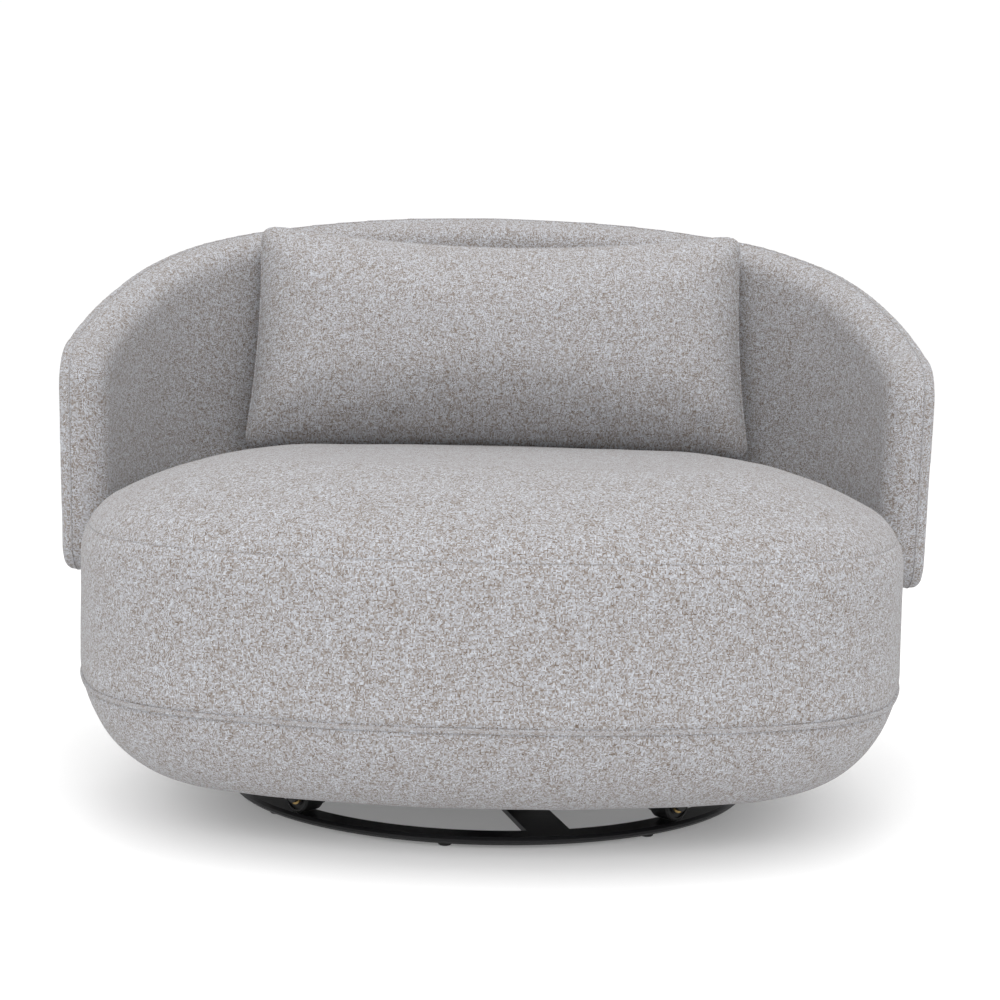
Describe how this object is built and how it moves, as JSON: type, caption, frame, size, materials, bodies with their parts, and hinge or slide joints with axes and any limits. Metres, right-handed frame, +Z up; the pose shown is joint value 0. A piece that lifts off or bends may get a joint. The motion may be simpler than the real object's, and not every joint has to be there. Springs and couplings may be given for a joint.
{
  "type": "swivel armchair",
  "caption": "Low upholstered armchair with a round padded seat on a flat swivel ring, a wrapping back with short wings and a loose lumbar cushion.",
  "frame": {"origin": "on the floor, on the swivel axis, under the middle of the chair's width and depth", "axes": "+X to the right of the picture, +Y to the rear, +Z up; the chair faces -Y"},
  "size_m": [1.114, 0.9699, 0.75],
  "materials": {
    "grey_fabric": "heathered slub weave",
    "foam": "open cell foam",
    "black_cloth": "woven",
    "black_metal": "satin powder coat",
    "black_plastic": "matte",
    "bolt_steel": "zinc plated",
    "brass": "turned",
    "plywood": "raw",
    "board": "raw hardboard"
  },
  "bodies": {
    "base": {"base_ring": "black_metal", "base_crossbar_long": "black_metal", "base_crossbar_short": "black_metal", "floor_glides": "black_plastic", "pivot_plate": "black_metal", "pivot_post": "bolt_steel", "pivot_washer": "bolt_steel", "pivot_nut": "bolt_steel", "thrust_washer": "black_plastic"},
    "seat": {"swivel_hub": "black_metal", "pivot_bush": "brass", "arm_long": "black_metal", "arm_short": "black_metal", "roller_brackets": "black_metal", "roller_axles": "bolt_steel", "axle_nuts": "bolt_steel", "frame_bolts": "bolt_steel", "frame_nuts": "bolt_steel", "base_panel": "plywood", "drum_ribs": "plywood", "ring_board": "plywood", "drum_wall": "board", "webbing_lengthwise": "black_cloth", "webbing_crosswise": "black_cloth", "side_foam": "foam", "seat_foam": "foam", "seat_cover_top": "grey_fabric", "seat_cover_band": "grey_fabric", "seat_cover_lower": "grey_fabric", "seat_piping": "grey_fabric", "dust_cover": "black_cloth", "back_shell": "plywood", "back_foam_inner": "foam", "back_foam_outer": "foam", "back_cover_inner": "grey_fabric", "back_cover_outer": "grey_fabric", "back_blocks": "plywood", "back_sleeves": "bolt_steel", "back_bolts": "bolt_steel", "back_nuts": "bolt_steel"},
    "roller_front_left": {"roller_wheel_front_left": "black_plastic", "roller_bush_front_left": "brass"},
    "roller_front_right": {"roller_wheel_front_right": "black_plastic", "roller_bush_front_right": "brass"},
    "roller_rear_right": {"roller_wheel_rear_right": "black_plastic", "roller_bush_rear_right": "brass"},
    "roller_rear_left": {"roller_wheel_rear_left": "black_plastic", "roller_bush_rear_left": "brass"},
    "cushion": {"cushion_fill": "foam", "cushion_cover": "grey_fabric", "cushion_cord": "grey_fabric"}
  },
  "joints": [
    {"name": "swivel", "type": "hinge", "parent": "base", "child": "seat", "pos_m": [0, 0, 0], "axis": [0, 0, 1], "continuous": true},
    {"name": "roller_front_left_spin", "type": "hinge", "parent": "seat", "child": "roller_front_left", "pos_m": [0, 0, 0.0343], "axis": [-0.682, -0.7314, 0], "continuous": true},
    {"name": "roller_front_right_spin", "type": "hinge", "parent": "seat", "child": "roller_front_right", "pos_m": [0, 0, 0.0343], "axis": [0.682, -0.7314, 0], "continuous": true},
    {"name": "roller_rear_right_spin", "type": "hinge", "parent": "seat", "child": "roller_rear_right", "pos_m": [0, 0, 0.0343], "axis": [0.682, 0.7314, 0], "continuous": true},
    {"name": "roller_rear_left_spin", "type": "hinge", "parent": "seat", "child": "roller_rear_left", "pos_m": [0, 0, 0.0343], "axis": [-0.682, 0.7314, 0], "continuous": true},
    {"name": "cushion_lift", "type": "slide", "parent": "seat", "child": "cushion", "axis": [0, 0, 1], "range_m": [0, 0.4]}
  ],
  "couplings": [
    {"joint": "roller_front_left_spin", "follows": "swivel", "ratio": -15.4},
    {"joint": "roller_front_right_spin", "follows": "swivel", "ratio": -15.4},
    {"joint": "roller_rear_right_spin", "follows": "swivel", "ratio": -15.4},
    {"joint": "roller_rear_left_spin", "follows": "swivel", "ratio": -15.4}
  ]
}
